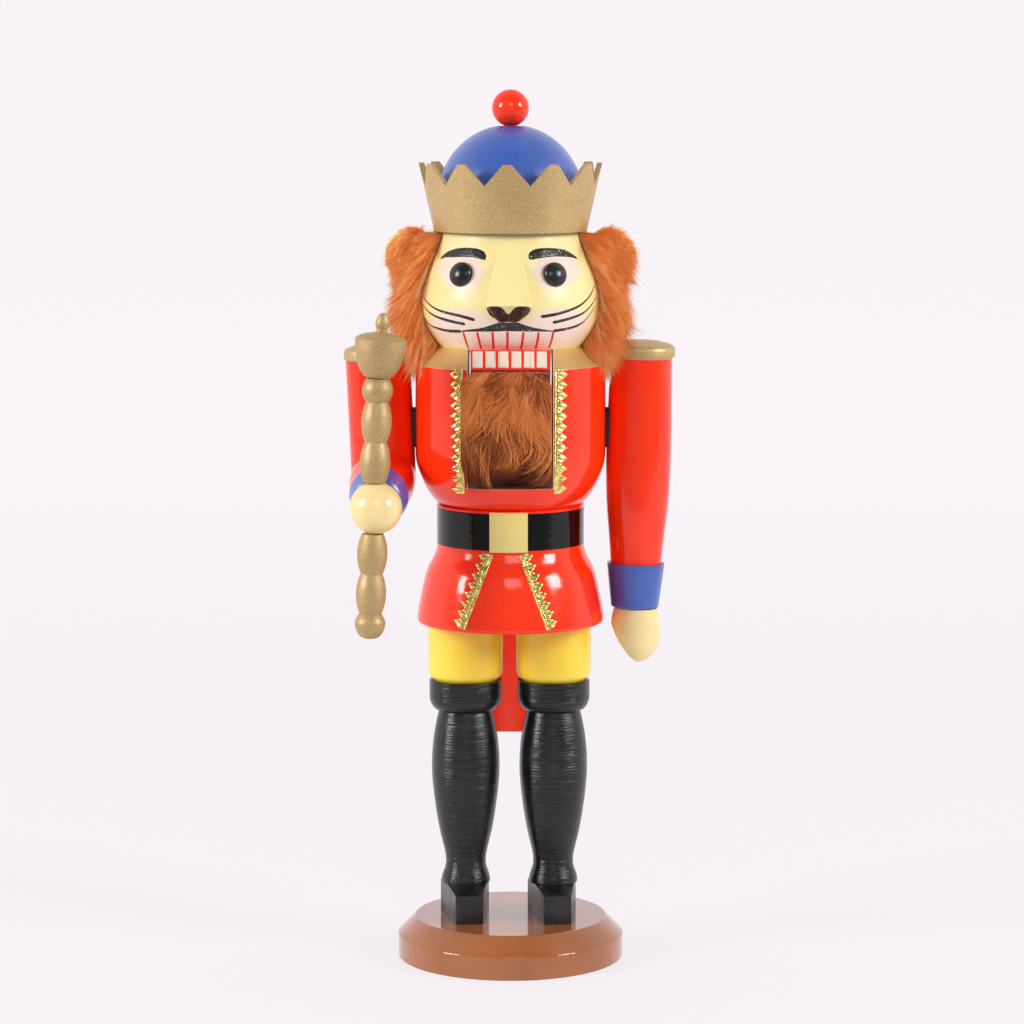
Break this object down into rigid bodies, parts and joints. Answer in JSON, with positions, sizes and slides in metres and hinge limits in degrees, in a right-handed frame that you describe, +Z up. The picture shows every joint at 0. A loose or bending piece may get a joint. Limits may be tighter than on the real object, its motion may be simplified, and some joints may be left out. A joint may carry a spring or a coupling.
{
  "type": "nutcracker figure",
  "caption": "Standing turned-wood nutcracker of a crowned lion king with a sceptre; lifting the coat tail at the back turns the lever on its pin and drops the lower jaw.",
  "frame": {"origin": "centre of the round base's underside", "axes": "+Z up, the figure faces -Y, its own left side is +X"},
  "size_m": [0.1439, 0.1181, 0.38],
  "materials": {
    "base_brown": "gloss lacquer",
    "boot_black": "satin black lacquer, turning lines",
    "trouser_yellow": "satin paint",
    "coat_red": "gloss lacquer",
    "belt_black": "gloss",
    "buckle_cream": "satin",
    "face_cream": "satin paint",
    "crown_gold": "matte metallic paint",
    "royal_blue": "gloss lacquer",
    "hand_cream": "satin paint",
    "eye_black": "satin",
    "bare_wood": "bare beech",
    "washer_dark": "dark stained",
    "pin_steel": "drawn wire",
    "mane_fur": "long pile",
    "beard_fur": "long pile",
    "foil_gold": "embossed metallic foil"
  },
  "bodies": {
    "figure": {"base_plate": "base_brown", "belt_band": "belt_black", "belt_buckle": "buckle_cream", "crown_ball": "coat_red", "crown_dome": "royal_blue", "crown_dowel": "bare_wood", "crown_ring": "crown_gold", "head": "face_cream", "head_dowels": "bare_wood", "left_boot": "boot_black", "left_chest_lace": "foil_gold", "left_cuff": "royal_blue", "left_ear": "face_cream", "left_eye": "eye_black", "left_hand": "hand_cream", "left_leg_dowel": "bare_wood", "left_shoe": "boot_black", "left_shoulder_cap": "crown_gold", "left_shoulder_dowel": "bare_wood", "left_shoulder_spacer": "washer_dark", "left_skirt_lace": "foil_gold", "left_sleeve": "coat_red", "left_trouser_leg": "trouser_yellow", "left_wrist_dowel": "bare_wood", "mane": "mane_fur", "nose": "face_cream", "pivot_pin": "pin_steel", "right_boot": "boot_black", "right_chest_lace": "foil_gold", "right_cuff": "royal_blue", "right_ear": "face_cream", "right_elbow_dowel": "bare_wood", "right_eye": "eye_black", "right_fist": "hand_cream", "right_forearm": "coat_red", "right_leg_dowel": "bare_wood", "right_shoe": "boot_black", "right_shoulder_cap": "crown_gold", "right_shoulder_dowel": "bare_wood", "right_shoulder_spacer": "washer_dark", "right_skirt_lace": "foil_gold", "right_trouser_leg": "trouser_yellow", "right_upper_arm": "coat_red", "sceptre_bead_1": "crown_gold", "sceptre_bead_2": "crown_gold", "sceptre_bead_3": "crown_gold", "sceptre_bead_4": "crown_gold", "sceptre_cup": "crown_gold", "sceptre_end_ball": "crown_gold", "sceptre_finial": "crown_gold", "sceptre_rod": "bare_wood", "sceptre_round_bead": "crown_gold", "skirt": "coat_red", "torso": "coat_red"},
    "jaw": {"jaw_lever": "coat_red", "beard": "beard_fur"}
  },
  "joints": [
    {"name": "jaw_hinge", "type": "hinge", "parent": "figure", "child": "jaw", "pos_m": [0, 0.009, 0.24], "axis": [1, 0, 0], "range_deg": [0, 32], "deforming": ["beard"]}
  ]
}
